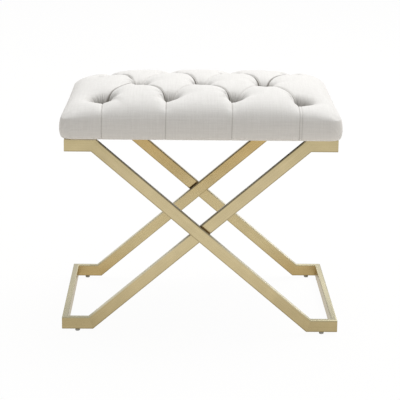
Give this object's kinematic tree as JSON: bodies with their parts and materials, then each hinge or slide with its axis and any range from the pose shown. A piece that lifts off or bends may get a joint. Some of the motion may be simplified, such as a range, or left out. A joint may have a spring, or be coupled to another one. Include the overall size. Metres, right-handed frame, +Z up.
{
  "type": "x frame stool",
  "caption": "Button-tufted upholstered stool on two brushed gold tube frames that cross as an X at front and back and stand on floor loops at each side.",
  "frame": {"origin": "on the floor under the middle of the seat", "axes": "+X across the stool's wider front, towards the right floor loop; +Y from the front to the back; +Z up"},
  "size_m": [0.6, 0.466, 0.5239],
  "materials": {
    "brushed_gold_steel": "warm champagne-gold plating, brushed along each tube",
    "weld_bead": "dark bronze weld bead",
    "linen_cover": "off-white plain-weave linen over wadding",
    "linen_button": "button covered in the same linen",
    "birch_plywood": "raw birch plywood",
    "seat_foam": "open-cell upholstery foam",
    "black_nonwoven": "black spun-bonded dust cover",
    "zinc_screw": "zinc-plated pan-head screw",
    "grey_glide": "grey moulded plastic glide",
    "waxed_twine": "waxed upholstery twine"
  },
  "bodies": {
    "root": {"outer_frame_front_foot": "brushed_gold_steel", "outer_frame_front_leg": "brushed_gold_steel", "outer_frame_front_seat_bar": "brushed_gold_steel", "outer_frame_seat_rail": "brushed_gold_steel", "outer_frame_rear_seat_bar": "brushed_gold_steel", "outer_frame_rear_leg": "brushed_gold_steel", "outer_frame_rear_foot": "brushed_gold_steel", "outer_frame_floor_bar": "brushed_gold_steel", "inner_frame_front_foot": "brushed_gold_steel", "inner_frame_front_leg": "brushed_gold_steel", "inner_frame_front_seat_bar": "brushed_gold_steel", "inner_frame_seat_rail": "brushed_gold_steel", "inner_frame_rear_seat_bar": "brushed_gold_steel", "inner_frame_rear_leg": "brushed_gold_steel", "inner_frame_rear_foot": "brushed_gold_steel", "inner_frame_floor_bar": "brushed_gold_steel", "front_crossing_weld": "weld_bead", "rear_crossing_weld": "weld_bead", "outer_frame_front_foot_glide": "grey_glide", "outer_frame_rear_foot_glide": "grey_glide", "outer_frame_floor_bar_front_glide": "grey_glide", "outer_frame_floor_bar_rear_glide": "grey_glide", "inner_frame_front_foot_glide": "grey_glide", "inner_frame_rear_foot_glide": "grey_glide", "inner_frame_floor_bar_front_glide": "grey_glide", "inner_frame_floor_bar_rear_glide": "grey_glide", "seat_board": "birch_plywood", "foam_slab": "seat_foam", "tufted_cover": "linen_cover", "dust_cover": "black_nonwoven", "seat_screw_1": "zinc_screw", "seat_screw_2": "zinc_screw", "seat_screw_3": "zinc_screw", "seat_screw_4": "zinc_screw", "tuft_button_1": "linen_button", "tuft_button_2": "linen_button", "tuft_button_3": "linen_button", "tuft_button_4": "linen_button", "tuft_button_5": "linen_button", "tuft_button_6": "linen_button", "tuft_button_7": "linen_button", "tuft_button_8": "linen_button", "tuft_button_9": "linen_button", "tuft_button_10": "linen_button", "tuft_button_11": "linen_button", "tuft_twine_1": "waxed_twine", "tuft_twine_2": "waxed_twine", "tuft_twine_3": "waxed_twine", "tuft_twine_4": "waxed_twine", "tuft_twine_5": "waxed_twine", "tuft_twine_6": "waxed_twine", "tuft_twine_7": "waxed_twine", "tuft_twine_8": "waxed_twine", "tuft_twine_9": "waxed_twine", "tuft_twine_10": "waxed_twine", "tuft_twine_11": "waxed_twine"}
  },
  "joints": []
}
